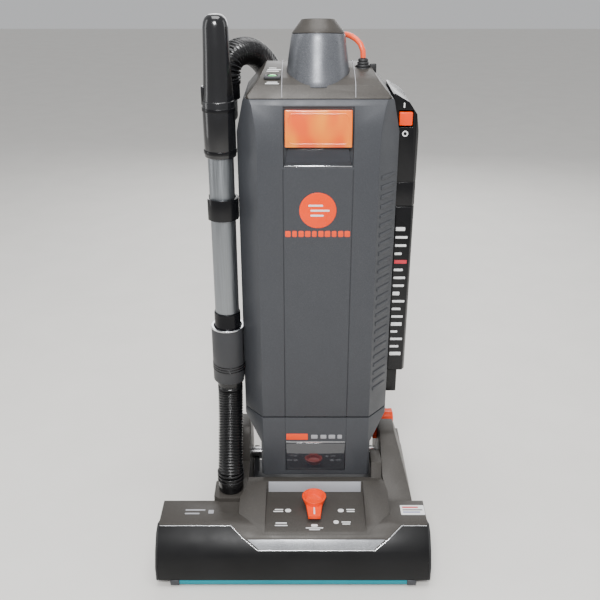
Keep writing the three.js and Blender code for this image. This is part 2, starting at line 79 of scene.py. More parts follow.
# ---- camera and light ----
CAMERA_LENS = 48
CAMERA_SENSOR = 36
CAMERA = (-24, -896, 887)
CAMERA_PITCH = 25


def add_camera():
    data = bpy.data.cameras.new("camera")
    data.lens = CAMERA_LENS
    data.sensor_width = CAMERA_SENSOR
    data.clip_end = 20
    obj = bpy.data.objects.new("camera", data)
    obj.location = point(*CAMERA)
    obj.rotation_euler = (math.radians(90 - CAMERA_PITCH), 0, 0)
    bpy.context.scene.collection.objects.link(obj)
    bpy.context.scene.camera = obj


def add_light(name, place, target, size, power, colour=(1, 1, 1)):
    data = bpy.data.lights.new(name, "AREA")
    data.shape = "RECTANGLE"
    data.size, data.size_y = size
    data.energy = power
    data.color = colour
    obj = bpy.data.objects.new(name, data)
    obj.location = point(*place)
    aim = point(*target) - obj.location
    obj.rotation_euler = aim.to_track_quat("-Z", "Y").to_euler()
    bpy.context.scene.collection.objects.link(obj)


def add_studio():
    middle = (0, 150, 400)
    add_light("key", (-120, -1150, 1500), middle, (0.5, 0.35), 30)
    add_light("top", (0, 60, 2100), middle, (1.2, 1.0), 26)
    add_light("left", (-1700, 200, 900), middle, (0.5, 1.6), 6)
    add_light("right", (1700, 500, 900), middle, (0.5, 1.6), 4)
    add_light("rear", (200, 1900, 1300), middle, (1.6, 1.4), 20)
    world = bpy.data.worlds.new("studio")
    world.use_nodes = True
    background = world.node_tree.nodes["Background"]
    background.inputs["Color"].default_value = (0.90, 0.91, 0.93, 1)
    background.inputs["Strength"].default_value = 0.62
    bpy.context.scene.world = world
    bpy.ops.mesh.primitive_plane_add(size=14, location=(0, 0, 0))
    floor = bpy.context.object
    floor.name = "floor"
    floor.data.materials.append(matte("floor_paint", (0.80, 0.78, 0.74), 0.7, mottled=0.015))


# ---- materials ----
def new_material(name):
    material = bpy.data.materials.new(name)
    material.use_nodes = True
    tree = material.node_tree
    return material, tree, tree.nodes["Principled BSDF"]


def put(made, values):
    for key, value in values.items():
        made.inputs[key].default_value = value


def node(tree, kind, values):
    made = tree.nodes.new(kind)
    put(made, values)
    return made


def texture(tree, kind, values, stretch=None):
    """A texture over the object's own coordinates, in metres, stretched if asked."""
    place = node(tree, "ShaderNodeTexCoord", {}).outputs["Object"]
    if stretch:
        mapping = node(tree, "ShaderNodeMapping", {"Scale": stretch})
        tree.links.new(place, mapping.inputs["Vector"])
        place = mapping.outputs["Vector"]
    made = node(tree, kind, values)
    tree.links.new(place, made.inputs["Vector"])
    return made


def noise(tree, scale, detail=3):
    return texture(tree, "ShaderNodeTexNoise", {"Scale": scale, "Detail": detail}).outputs["Fac"]


def vary(tree, shader, socket, source, low, high, start=0.35, end=0.65):
    """Runs a shader input between two values, following a noise."""
    ramp = node(tree, "ShaderNodeMapRange",
                {"From Min": start, "From Max": end, "To Min": low, "To Max": high})
    tree.links.new(source, ramp.inputs["Value"])
    tree.links.new(ramp.outputs["Result"], shader.inputs[socket])


def tint(tree, shader, source, dark, light, start=0.35, end=0.65):
    ramp = node(tree, "ShaderNodeValToRGB", {})
    ramp.color_ramp.elements[0].position = start
    ramp.color_ramp.elements[0].color = (*dark, 1)
    ramp.color_ramp.elements[1].position = end
    ramp.color_ramp.elements[1].color = (*light, 1)
    tree.links.new(source, ramp.inputs["Fac"])
    tree.links.new(ramp.outputs["Color"], shader.inputs["Base Color"])


def emboss(tree, shader, source, strength, depth):
    bump = node(tree, "ShaderNodeBump", {"Strength": strength, "Distance": depth})
    tree.links.new(source, bump.inputs["Height"])
    tree.links.new(bump.outputs["Normal"], shader.inputs["Normal"])


def scaled(colour, factor):
    return tuple(min(1, c * factor) for c in colour)


def matte(name, colour, rough, grain=700, depth=0.00008, mottled=0.08, coat=0, shine=0.5):
    """Moulded plastic or rubber: a fine spark-eroded grain and faint handling marks."""
    material, tree, shader = new_material(name)
    tint(tree, shader, noise(tree, 9, 5), scaled(colour, 1 - mottled), scaled(colour, 1 + mottled))
    vary(tree, shader, "Roughness", noise(tree, 26, 4), rough - 0.05, rough + 0.06)
    emboss(tree, shader, noise(tree, grain, 2), 0.35, depth)
    put(shader, {"Coat Weight": coat, "Coat Roughness": 0.12, "Specular IOR Level": shine})
    return material


def flecked(name, colour, rough, metal, sparkle):
    """Grey plastic with metallic flake, which glints where the light catches it."""
    material, tree, shader = new_material(name)
    cells = texture(tree, "ShaderNodeTexVoronoi", {"Scale": 2400.0})
    split = node(tree, "ShaderNodeSeparateColor", {})
    tree.links.new(cells.outputs["Color"], split.inputs["Color"])
    tint(tree, shader, split.outputs["Red"], scaled(colour, 0.92), scaled(colour, sparkle), 0.6, 1.0)
    vary(tree, shader, "Roughness", noise(tree, 30, 4), rough - 0.04, rough + 0.06)
    emboss(tree, shader, noise(tree, 900, 2), 0.3, 0.00007)
    put(shader, {"Specular IOR Level": 0.35, "Metallic": metal})
    return material


def metal(name, colour, rough, streak=(1, 1, 0.02)):
    """Drawn metal, with fine streaks along its length."""
    material, tree, shader = new_material(name)
    lines = texture(tree, "ShaderNodeTexNoise", {"Scale": 900.0, "Detail": 4.0}, streak).outputs["Fac"]
    tint(tree, shader, lines, scaled(colour, 0.88), scaled(colour, 1.08))
    vary(tree, shader, "Roughness", lines, rough - 0.07, rough + 0.1)
    emboss(tree, shader, lines, 0.2, 0.00004)
    put(shader, {"Metallic": 1})
    return material


def translucent(name, colour, rough, weight, deep=0.0):
    """Polished clear or tinted plastic, with faint swirls in its gloss."""
    material, tree, shader = new_material(name)
    tint(tree, shader, noise(tree, 40, 3), scaled(colour, 0.9), scaled(colour, 1.08))
    vary(tree, shader, "Roughness", noise(tree, 55, 4), rough, rough + 0.06)
    emboss(tree, shader, noise(tree, 60, 2), 0.12, 0.0004)
    put(shader, {"Transmission Weight": weight, "IOR": 1.49, "Subsurface Weight": deep,
                 "Subsurface Radius": (0.012, 0.004, 0.001), "Coat Weight": 1, "Coat Roughness": 0.04})
    return material


def glint_banded(name, deep, painted_glint, rough):
    """Polished tinted plastic with painted glints: its colour runs from deep to a lighter painted highlight
    in broad uneven bands.
    """
    material, tree, shader = new_material(name)
    values = {"Scale": 24.0, "Detail": 1.0, "Distortion": 0.2}
    bands = texture(tree, "ShaderNodeTexNoise", values, (1.6, 1.0, 0.7))
    # the lighter end of this ramp is painted highlight, not the plastic's own colour
    tint(tree, shader, bands.outputs["Fac"], deep, painted_glint, 0.36, 0.72)
    vary(tree, shader, "Roughness", noise(tree, 60, 3), rough, rough + 0.06)
    emboss(tree, shader, noise(tree, 75, 2), 0.35, 0.0006)
    put(shader, {"Coat Weight": 1, "Coat Roughness": 0.03})
    return material


def woven(name, colour):
    """Filter cloth: crossed threads and a soft, fibrous face."""
    material, tree, shader = new_material(name)
    threads = texture(tree, "ShaderNodeTexWave", {"Scale": 260, "Distortion": 2.0, "Detail": 2.0})
    threads.bands_direction = "Z"
    tint(tree, shader, noise(tree, 60, 6), scaled(colour, 0.86), scaled(colour, 1.06))
    vary(tree, shader, "Roughness", noise(tree, 200, 3), 0.82, 0.97)
    emboss(tree, shader, threads.outputs["Fac"], 0.4, 0.0002)
    put(shader, {"Sheen Weight": 0.3})
    return material


GREY = flecked("grey_plastic", (0.052, 0.055, 0.062), 0.40, 0.15, 1.35)
WARM = flecked("warm_grey_plastic", (0.050, 0.0455, 0.0405), 0.42, 0.15, 1.6)
SILVER = flecked("cone_silver", (0.115, 0.12, 0.132), 0.31, 0.45, 1.7)
GLOSS = matte("gloss_black", (0.004, 0.004, 0.005), 0.20, grain=300, coat=0.5)
MATERIALS = {
    "grey_plastic": GREY,
    "warm_grey_plastic": WARM,
    "dark_plastic": matte("dark_plastic", (0.026, 0.027, 0.030), 0.5),
    "black_plastic": matte("black_plastic", (0.003, 0.003, 0.004), 0.25, coat=0.08, shine=0.3),
    "bumper": matte("bumper", (0.0045, 0.0045, 0.005), 0.42, mottled=0.4, shine=0.25),
    "orange_plastic": matte("orange_plastic", (0.95, 0.056, 0.0), 0.30, coat=0.08, shine=0.3),
    # the latch: its lighter orange bands are painted glints
    "amber_lens": glint_banded("amber_lens", (0.90, 0.095, 0.0), (1.0, 0.27, 0.0), 0.10),
    "clear_lens": translucent("clear_lens", (0.62, 0.66, 0.74), 0.03, 0.85),
    "steel": metal("steel", (0.55, 0.55, 0.56), 0.32),
    "wand_metal": metal("wand_metal", (0.27, 0.285, 0.30), 0.42),
    "rubber": matte("rubber", (0.011, 0.011, 0.012), 0.60, mottled=0.2),
    "hose": matte("hose", (0.003, 0.003, 0.0035), 0.24, coat=0.2, shine=0.4),
    "teal": matte("teal", (0.0, 0.24, 0.30), 0.45, shine=0.3),
    "bag_paper": woven("bag_paper", (0.66, 0.63, 0.56)),
    "filter_media": woven("filter_media", (0.84, 0.84, 0.81)),
    "bristle": matte("bristle", (0.02, 0.02, 0.022), 0.5),
    "cord": matte("cord", (0.92, 0.10, 0.03), 0.36),
    "lamp": translucent("lamp", (0.04, 0.72, 0.16), 0.08, 0.2, 0.2),
}
WHITE_PRINT = matte("white_print", (0.80, 0.80, 0.80), 0.5, mottled=0.04)
ORANGE_PRINT = matte("orange_print", (0.94, 0.06, 0.0), 0.5, mottled=0.04)
RED_PRINT = matte("red_print", (0.60, 0.03, 0.05), 0.5, mottled=0.04)
BLUE_PRINT = matte("blue_print", (0.05, 0.07, 0.30), 0.5, mottled=0.04)
DARK_PRINT = matte("dark_print", (0.02, 0.02, 0.022), 0.55)
FAINT_PRINT = matte("faint_print", (0.34, 0.34, 0.36), 0.5, mottled=0.04)
BRASS = metal("contact_brass", (0.80, 0.62, 0.28), 0.25)
# painted highlights: a polished bright metal for lines that stand in for lit edges and rims
HIGHLIGHT_METAL = metal("painted_highlight_metal", (0.80, 0.81, 0.83), 0.16, (1, 1, 1))
# painted highlight: the housing's grey band, made pale silver where it catches the light
BAND_HIGHLIGHT = flecked("painted_band_highlight", (0.42, 0.43, 0.45), 0.30, 0.7, 1.9)
PALE = matte("recess_grey", (0.36, 0.365, 0.39), 0.5)
LENS = translucent("smoked_lens", (0.035, 0.037, 0.045), 0.05, 0.25)


# ---- making pieces ----
def finish_piece(obj, body, slot, material=None, smooth=35):
    mesh = obj.data
    mesh.materials.clear()
    mesh.materials.append(material or MATERIALS[slot])
    mesh.shade_smooth()
    mesh.set_sharp_from_angle(angle=math.radians(smooth))
    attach(obj, body)
    return obj


def apply_modifiers(obj):
    bpy.context.view_layer.update()
    seen = obj.evaluated_get(bpy.context.evaluated_depsgraph_get())
    mesh = bpy.data.meshes.new_from_object(seen)
    obj.modifiers.clear()
    obj.data = mesh


def link(name, mesh):
    obj = bpy.data.objects.new(name, mesh)
    bpy.context.scene.collection.objects.link(obj)
    return obj


def from_bmesh(name, bm):
    mesh = bpy.data.meshes.new(name)
    bmesh.ops.recalc_face_normals(bm, faces=bm.faces)
    bm.to_mesh(mesh)
    bm.free()
    return link(name, mesh)


def bevel(obj, width, segments=3, angle=28):
    modifier = obj.modifiers.new("bevel", "BEVEL")
    modifier.width = width * MM
    modifier.segments = segments
    modifier.limit_method = "ANGLE"
    modifier.angle_limit = math.radians(angle)
    modifier.use_clamp_overlap = True
    apply_modifiers(obj)


def cut(obj, cutters):
    for cutter in cutters:
        modifier = obj.modifiers.new("cut", "BOOLEAN")
        modifier.operation = "DIFFERENCE"
        modifier.solver = "EXACT"
        modifier.object = cutter
    apply_modifiers(obj)
    for cutter in cutters:
        bpy.data.objects.remove(cutter)


def block(name, low, high):
    bm = bmesh.new()
    bmesh.ops.create_cube(bm, size=1)
    a, b = point(*low), point(*high)
    bmesh.ops.scale(bm, vec=b - a, verts=bm.verts)
    bmesh.ops.translate(bm, vec=(a + b) / 2, verts=bm.verts)
    return from_bmesh(name, bm)


def refined(name, width, segments=3, cutters=(), material=None, smooth=35):
    """A CAD piece redone with its flat faces merged, its edges rounded and its details cut in."""
    bm = bmesh.new()
    bm.from_mesh(frame["nodes"][name].data)
    bmesh.ops.remove_doubles(bm, verts=bm.verts, dist=2e-6)
    bmesh.ops.dissolve_limit(bm, angle_limit=math.radians(1.5), verts=bm.verts, edges=bm.edges)
    obj = from_bmesh(name + "_form", bm)
    if cutters:
        cut(obj, list(cutters))
    if width:
        bevel(obj, width, segments)
    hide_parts(name)
    return finish_piece(obj, BODY_OF[name], SLOT_OF[name], material, smooth)


def about(axis):
    """A direction as a unit vector, with two more square to it and to each other."""
    axis = Vector(axis).normalized()
    across = axis.orthogonal().normalized()
    return axis, across, axis.cross(across)


def add_ring(bm, centre, across, other, radius, sides):
    turns = [2 * math.pi * s / sides for s in range(sides)]
    return [bm.verts.new(centre + (across * math.cos(t) + other * math.sin(t)) * radius * MM) for t in turns]


def plate(name, outline, thick, place, right, up, body, slot, material=None, edge=0.3):
    """A flat printed or moulded shape: an outline in millimetres laid on a face."""
    right = Vector(right).normalized()
    up = Vector(up).normalized()
    out = right.cross(up)
    bm = bmesh.new()
    origin = point(*place)
    face = bm.faces.new([bm.verts.new(origin + (right * a + up * b) * MM) for a, b in outline])
    made = bmesh.ops.extrude_face_region(bm, geom=[face])
    moved = [v for v in made["geom"] if isinstance(v, bmesh.types.BMVert)]
    bmesh.ops.translate(bm, vec=out * thick * MM, verts=moved)
    obj = from_bmesh(name, bm)
    if edge:
        bevel(obj, min(edge, thick * 0.45), 2)
    return finish_piece(obj, body, slot, material)


def rounded_box(width, height, radius, steps=5):
    points = []
    for (sx, sy), start in (((1, 1), 0), ((-1, 1), 90), ((-1, -1), 180), ((1, -1), 270)):
        cx, cy = sx * (width / 2 - radius), sy * (height / 2 - radius)
        for k in range(steps + 1):
            t = math.radians(start + 90 * k / steps)
            points.append((cx + radius * math.cos(t), cy + radius * math.sin(t)))
    return points


def mark(name, size, place, body, slot, material=None, right=RIGHT, up=UP, thick=0.3, edge=0.1):
    """A printed or moulded bar lying on a face; size is its width, height and corner radius."""
    return plate(name, rounded_box(*size), thick, place, right, up, body, slot, material, edge)


def two_circles(a, ra, b, rb, steps=16):
    """The outline of a band stretched round two circles."""
    along = math.atan2(b[1] - a[1], b[0] - a[0])
    lean = math.acos((ra - rb) / math.hypot(b[0] - a[0], b[1] - a[1]))
    points = []
    for centre, radius, start, sweep_angle in (
            (b, rb, along - lean, 2 * lean), (a, ra, along + lean, 2 * math.pi - 2 * lean)):
        for k in range(steps + 1):
            t = start + sweep_angle * k / steps
            points.append((centre[0] + radius * math.cos(t), centre[1] + radius * math.sin(t)))
    return points


def sweep(name, path, radii, sides=24, closed_ends=True):
    """A round skin along a path of points; radii gives the radius at each point, in millimetres."""
    count = len(path)
    bm = bmesh.new()
    rings = []
    along = (path[1] - path[0]).normalized()
    across = along.orthogonal().normalized()
    for k, centre in enumerate(path):
        ahead = path[min(k + 1, count - 1)] - path[max(k - 1, 0)]
        tangent = ahead.normalized()
        across = (across - tangent * across.dot(tangent)).normalized()
        rings.append(add_ring(bm, centre, across, tangent.cross(across), radii[k], sides))
    for a, b in zip(rings, rings[1:]):
        for s in range(sides):
            bm.faces.new((a[s], a[(s + 1) % sides], b[(s + 1) % sides], b[s]))
    if closed_ends:
        bm.faces.new(list(reversed(rings[0])))
        bm.faces.new(rings[-1])
    return from_bmesh(name, bm)


def bead(name, path, radius, body, slot, material=None, sides=8):
    """A thin round line along a path, such as a seam, or a lit edge."""
    return finish_piece(sweep(name, path, [radius] * len(path), sides), body, slot, material, 60)


def ribbon(name, rows, thickness):
    """A thin sheet through pairs of points, with a thickness."""
    bm = bmesh.new()
    pairs = [[bm.verts.new(p) for p in row] for row in rows]
    for a, b in zip(pairs, pairs[1:]):
        bm.faces.new((a[0], a[1], b[1], b[0]))
    sheet = from_bmesh(name, bm)
    modifier = sheet.modifiers.new("thick", "SOLIDIFY")
    modifier.thickness = thickness * MM
    apply_modifiers(sheet)
    return sheet


def spline(points, step):
    """A smooth line through given points, sampled every step millimetres."""
    knots = [point(*p) for p in points]
    knots = [knots[0] * 2 - knots[1]] + knots + [knots[-1] * 2 - knots[-2]]
    fine = []
    for a, b, c, d in zip(knots, knots[1:], knots[2:], knots[3:]):
        for k in range(24):
            t = k / 24
            fine.append(0.5 * ((2 * b) + (c - a) * t + (2 * a - 5 * b + 4 * c - d) * t * t
                               + (3 * b - a - 3 * c + d) * t ** 3))
    fine.append(knots[-2])
    line, left = [fine[0]], step * MM
    for a, b in zip(fine, fine[1:]):
        length = (b - a).length
        while length >= left > 0:
            a = a + (b - a).normalized() * left
            line.append(a)
            length -= left
            left = step * MM
        left -= length
    if (fine[-1] - line[-1]).length > 1e-5:
        line.append(fine[-1])
    return line


# ---- power cord: a short loop over the top, then wound on the two rear hooks ----
CORD_D = 7.5
HOOK_X = 55
HOOK_LOW, HOOK_HIGH = 290, 640
TURN_RADII = (33.75, 41.25, 48.75)
LAYER_Y = (308.75, 316.25, 323.75, 331.25)
SHIFT_ROW = (640, 590)
SHIFT_LAYER = (580, 530)
LEAD = [
    (60, 204, 729.4), (59.5, 204.5, 738), (55, 208, 748), (45, 217, 755), (35, 232, 756), (28, 250, 750),
    (24, 270, 739), (22, 288, 722), (21.3, 298, 700), (21.3, 300, 660), (21.3, 300, 600), (21.3, 300, 540),
]
PLUG_PLACE = (13, 351, 448)


def ease(value, start, end):
    t = max(0, min(1, (value - start) / (end - start)))
    return t * t * (3 - 2 * t)


def winding_points():
    """The turns: each goes down the left leg, round the low hook, up, and over the high one."""
    order = []
    for layer, y in enumerate(LAYER_Y):
        rows = TURN_RADII if layer % 2 == 0 else TURN_RADII[::-1]
        order += [(r, y) for r in rows]
    lead_y = LEAD[-1][1]
    drop = LAYER_Y[0] - lead_y
    points = [(HOOK_X - order[0][0], lead_y + ease(z, 540, 480) * drop, z) for z in range(525, 470, -12)]
    for turn, (r, y) in enumerate(order):
        after = order[turn + 1] if turn + 1 < len(order) else (r, y)
        start = 470 if turn == 0 else SHIFT_LAYER[1]
        points += [(HOOK_X - r, y, z) for z in range(start - 10, HOOK_LOW, -24)]
        for k in range(17):
            t = math.pi + math.pi * k / 16
            points.append((HOOK_X + r * math.cos(t), y, HOOK_LOW + r * math.sin(t)))
        points += [(HOOK_X + r, y, z) for z in range(HOOK_LOW + 30, HOOK_HIGH, 40)]
        for k in range(17):
            t = math.pi * k / 16
            points.append((HOOK_X + r * math.cos(t), y, HOOK_HIGH + r * math.sin(t)))
        if turn + 1 < len(order):
            for z in range(SHIFT_ROW[0] - 8, SHIFT_LAYER[1] - 1, -10):
                row = r + (after[0] - r) * ease(z, *SHIFT_ROW)
                depth = y + (after[1] - y) * ease(z, *SHIFT_LAYER)
                points.append((HOOK_X - row, depth, z))
    r, y = order[-1]
    for z in range(630, 460, -14):
        t = ease(z, 628, 480)
        points.append((HOOK_X - r + (PLUG_PLACE[0] - HOOK_X + r) * t, y + (PLUG_PLACE[1] - y) * t, z))
    return points + [PLUG_PLACE]


def add_cord():
    lead = spline(LEAD, 9)
    line = lead + [point(*p) for p in winding_points()]
    curve = bpy.data.curves.new("power_cord_line", "CURVE")
    curve.dimensions = "3D"
    curve.bevel_depth = CORD_D / 2 * MM
    curve.bevel_resolution = 3
    curve.use_fill_caps = True
    track = curve.splines.new("POLY")
    track.points.add(len(line) - 1)
    for knot, place in zip(track.points, line):
        knot.co = (*place, 1)
    cord = bpy.data.objects.new("power_cord_line", curve)
    bpy.context.scene.collection.objects.link(cord)
    curve.materials.append(MATERIALS["cord"])
    track.use_smooth = True
    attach(cord, "body")
    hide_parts("power_cord", "cord_winding")
    return cord, line


def add_strain_relief():
    """A ringed rubber boot: a plain foot, then a taper with a groove every 3.6 mm."""
    low, high = span("strain_relief")
    x, y = (low[0] + high[0]) / 2, (low[1] + high[1]) / 2
    steps = 60
    path, radii = [], []
    for k in range(steps + 1):
        z = low[2] + (high[2] - low[2]) * k / steps
        height = z - low[2]
        base = 10.3 if height < 15 else 10.3 - (height - 15) / 15 * 4.2
        groove = 0.9 * max(0, math.sin(height * 2 * math.pi / 3.6)) if height > 15 else 0
        path.append(point(x, y, z))
        radii.append(base - groove)
    obj = sweep("strain_relief_boot", path, radii, 32)
    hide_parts("strain_relief")
    fin = block("boot_fin", (x + 9, y - 2, 710), (x + 18, y + 2, 722))
    bevel(fin, 1.2, 3)
    finish_piece(fin, "body", "rubber")
    return finish_piece(obj, "body", "rubber", smooth=50)


def add_plug():
    low, high = span("cord_plug")
    x, y, top = PLUG_PLACE
    profile = [(0, 4.6), (3, 6.5), (9, 6.8), (14, 10.5), (20, 12.4), (30, 12.7), (33, 12.2), (34.5, 11)]
    obj = sweep("plug_body", [point(x, y, top - 0.3 - d) for d, _ in profile], [r for _, r in profile], 32)
    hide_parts("cord_plug")
    plug = finish_piece(obj, "body", "cord", smooth=50)
    pins = []
    for k, side in enumerate((-4.6, 4.6)):
        near, far = (x + side - 0.8, y - 3, low[2]), (x + side + 0.8, y + 3, top - 34)
        pins.append(block(f"plug_blade_{k}", near, far))
    earth = [point(x, y + 6.5, z) for z in (top - 34, low[2] + 2, low[2])]
    pins.append(sweep("plug_earth_pin", earth, [2.2, 2.2, 1.2], 16))
    for pin in pins:
        bevel(pin, 0.3, 2)
        finish_piece(pin, "body", "steel", BRASS)
    return [plug] + pins


# ---- hoses ----
UPPER_ROUTE = [
    (-122, 203, 702.8), (-122, 203, 711), (-119, 209, 724), (-111, 226, 731.5), (-101, 250, 732),
    (-91, 278, 726), (-78, 303, 711), (-64, 317, 686), (-52, 320.5, 650), (-43, 320.5, 605),
    (-38, 319.5, 560), (-38, 319.5, 525), (-38, 319.5, 502.5),
]
LOWER_ROUTE = [
    (-131, 112, 95.8), (-131, 112, 108), (-131, 118, 135), (-131, 134, 170),
    (-131, 152, 206), (-131, 163, 238), (-131, 164, 252), (-131, 164, 262),
]
RIB_STEP = 0.7


def corrugated(name, route, crest, root, pitch, cuffs, sides=28):
    """A ribbed hose: its radius swings between crest and root; cuffs are plain lengths at its ends."""
    line = spline(route, RIB_STEP)
    total = (len(line) - 1) * RIB_STEP
    radii = []
    for k in range(len(line)):
        s = k * RIB_STEP
        wave = 0.5 + 0.5 * math.cos(2 * math.pi * s / pitch)
        radius = root + (crest - root) * wave ** 0.6
        if s < cuffs[0] or s > total - cuffs[1]:
            radius = crest
        radii.append(radius)
    return sweep(name, line, radii, sides), line


def add_hose(name, stands_for, *form):
    obj, line = corrugated(name, *form)
    obj.data.materials.append(MATERIALS["hose"])
    obj.data.shade_smooth()
    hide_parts(stands_for)
    return obj, line


def add_hoses():
    """The upper and lower ribbed hoses, each swept along a fixed route."""
    upper, line = add_hose("upper_hose_ribbed", "upper_hose", UPPER_ROUTE, 18.9, 15.9, 5.2, (2, 8))
    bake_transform(upper)
    lower, _ = add_hose("lower_hose_ribbed", "lower_hose", LOWER_ROUTE, 19.2, 17.0, 4.2, (20, 8))
    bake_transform(lower)


# ---- turned shapes ----
def turned(name, base, axis, profile, sides=64):
    """Spins a closed profile of (radius, height) points about an axis through base."""
    axis, across, other = about(axis)
    origin = point(*base)
    bm = bmesh.new()
    rings = []
    for radius, height in profile:
        centre = origin + axis * height * MM
        if radius < 0.01:
            rings.append([bm.verts.new(centre)])
        else:
            rings.append(add_ring(bm, centre, across, other, radius, sides))
    for a, b in zip(rings, rings[1:] + rings[:1]):
        if len(a) == 1 and len(b) == 1:
            continue
        for s in range(sides):
            t = (s + 1) % sides
            corners = [a[s % len(a)], a[t % len(a)], b[t % len(b)], b[s % len(b)]]
            unique = list(dict.fromkeys(corners))
            if len(unique) > 2:
                bm.faces.new(unique)
    return from_bmesh(name, bm)


def turned_piece(name, base, axis, profile, body, slot, material=None, edge=0.6, stands_for=None, sides=64):
    obj = turned(name, base, axis, profile, sides)
    if edge:
        bevel(obj, edge, 3)
    if stands_for:
        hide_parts(stands_for)
    return finish_piece(obj, body, slot, material)


def tube_profile(outer, inner, height):
    return [(inner, 0), (outer, 0), (outer, height), (inner, height)]


def coil(name, base, axis, radius, wire, turns, length, body, slot):
    """A coil spring wound about an axis."""
    axis, across, other = about(axis)
    steps = int(turns * 20)
    line = []
    for k in range(steps + 1):
        t = 2 * math.pi * turns * k / steps
        swing = across * math.cos(t) + other * math.sin(t)
        line.append(point(*base) + swing * radius * MM + axis * (wire + (length - 2 * wire) * k / steps) * MM)
    return finish_piece(sweep(name, line, [wire] * len(line), 8), body, slot, smooth=60)


def screw(name, place, out, body, radius=3.2):
    """A cross-head screw standing just proud of a face."""
    head = [(0, 0), (radius, 0), (radius, 0.5), (radius * 0.7, 1.0), (0, 1.1)]
    obj = turned(name, place, out, head, 20)
    bm = bmesh.new()
    bm.from_mesh(obj.data)
    axis, across, other = about(out)
    top = point(*place) + axis * 1.06 * MM
    turn = Matrix((across, other, axis)).transposed().to_4x4()
    for wide, tall in ((radius * 1.2, 0.5), (0.5, radius * 1.2)):
        size = Matrix.Diagonal((wide * MM, tall * MM, 0.16 * MM, 1))
        made = bmesh.ops.create_cube(bm, size=1, matrix=Matrix.Translation(top) @ turn @ size)
        for face in {f for v in made["verts"] for f in v.link_faces}:
            face.material_index = 1
    bm.to_mesh(obj.data)
    bm.free()
    finish_piece(obj, body, "steel")
    obj.data.materials.append(DARK_PRINT)
    return obj


# ---- CAD pieces whose form stays and whose edges are rounded: name, edge radius ----
EDGES = [
    ("nozzle_base", 1.0), ("end_guard_left", 1.2), ("end_guard_right", 1.2), ("base_lip", 1.6),
    ("brush_bearing_left", 0.8), ("brush_bearing_right", 0.8), ("brush_motor", 1.0), ("motor_shaft", 0.4),
    ("brush_belt", 0.3), ("rear_axle", 0.5), ("wheel_carriage", 0.6), ("pedal", 3.2),
    ("pivot_pin_left", 0.8), ("pivot_pin_right", 0.8), ("pivot_frame", 1.5), ("door_gasket", 0.8),
    ("bag_dock", 1.2), ("filter_latch", 1.6), ("wand_clip", 0.7), ("wand_cup", 1.4), ("hose_cuff", 0.8),
]


def add_plain_pieces():
    for name, radius in EDGES:
        refined(name, radius)
    refined("rocker_switch", 1.4, material=MATERIALS["orange_plastic"])
    refined("nozzle_housing", 2.4, 4)
    refined("nozzle_cover", 2.2, 4)
    refined("front_bumper", 2.6, 4)
    refined("height_knob", 1.2, 3)
    refined("headlight_lens", 1.6, 3, material=LENS)
    refined("switch_pod", 5, 5, cutters=[
        block("seam_side", (136.2, 160, 565.6), (141, 300, 566.8)),
        block("seam_front", (98, 174, 565.6), (141, 178.8, 566.8)),
    ])
    refined("filter_cover", 3.2, 4)


# ---- door, latch, panels ----
FACE = 131
SEAM_X = 46.5
SEAM_HALF = 0.5
SEAM_DEEP = 1.0


def panel_seams(z0, z1):
    return [block("seam", (x - SEAM_HALF, FACE - 4, z0), (x + SEAM_HALF, FACE + SEAM_DEEP, z1))
            for x in (-SEAM_X, SEAM_X)]


def latch_face(z):
    """How far back the latch's front face is at a height."""
    return 129.7 + 1.5 * max(0, z - 627) / 23 if z < 650 else 131.2 + 5 * (z - 650) / 24


def add_door():
    refined("bag_door", 2.0, 4, cutters=panel_seams(200, 597))
    refined("lower_cover", 1.6, 4, cutters=panel_seams(166, 220))
    refined("door_latch", 2.6, 4)
    rim = rounded_box(78, 38, 6)
    middle = 650.5
    path = [point(x, latch_face(middle + z) - 0.1, middle + z) for x, z in rim + rim[:2]]
    bead("latch_bead", path, 0.9, "latch", "amber_lens", sides=10)
    sill = [(-44.5, 0), (44.5, 0), (40, 23), (-40, 23)]
    plate("latch_sill", sill, 1.2, (0, 135.5, 601.5), RIGHT, (0, 4, 24), "door", "clear_lens",
          material=LENS, edge=0.5)
    # painted highlight: a bright strip along the sill's front edge
    plate("sill_highlight", [(-45, -1), (45, -1), (45, 0.4), (-45, 0.4)], 1.0, (0, 133.6, 601.5), RIGHT,
          (0, 4, 24), "door", "steel", material=HIGHLIGHT_METAL)
    spring = coil("latch_spring_coil", (0, 135.5, 640), BACK, 3.3, 0.5, 4, 5, "door", "steel")
    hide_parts("latch_spring")


def add_badge():
    """A plain round badge: an orange disc with three bars of moving air."""
    turned_piece("badge_back", (0, FACE + 0.2, 541), FRONT, [(0, 0), (25, 0), (25, 1.0), (0, 1.0)], "door",
                 "orange_plastic", edge=0.5)
    for k, (dx, dz, wide) in enumerate(((-3, 7, 20), (3, 0, 26), (-1, -7, 18))):
        mark(f"badge_bar_{k}", (wide, 2.6, 1.29), (dx, FACE - 0.7, 541 + dz), "door", "grey_plastic",
             WHITE_PRINT, thick=0.4)
    for k in range(10):
        wide = (7.4, 6.2, 7.0)[k % 3]
        mark(f"bar_{k}", (wide, 8.6, 1.5), (-40.5 + 9 * k, FACE, 507.5), "door", "orange_plastic",
             ORANGE_PRINT)


def add_facet_ribs():
    """A column of low ribs down the door's right facet."""
    slant = Vector((28, 33, 0)).normalized()
    for k in range(25):
        mark(f"facet_rib_{k}", (31, 6, 1.6), (94.5, 147.5, 258 + 13.6 * k), "door", "grey_plastic",
             right=slant, thick=0.9, edge=0.4)


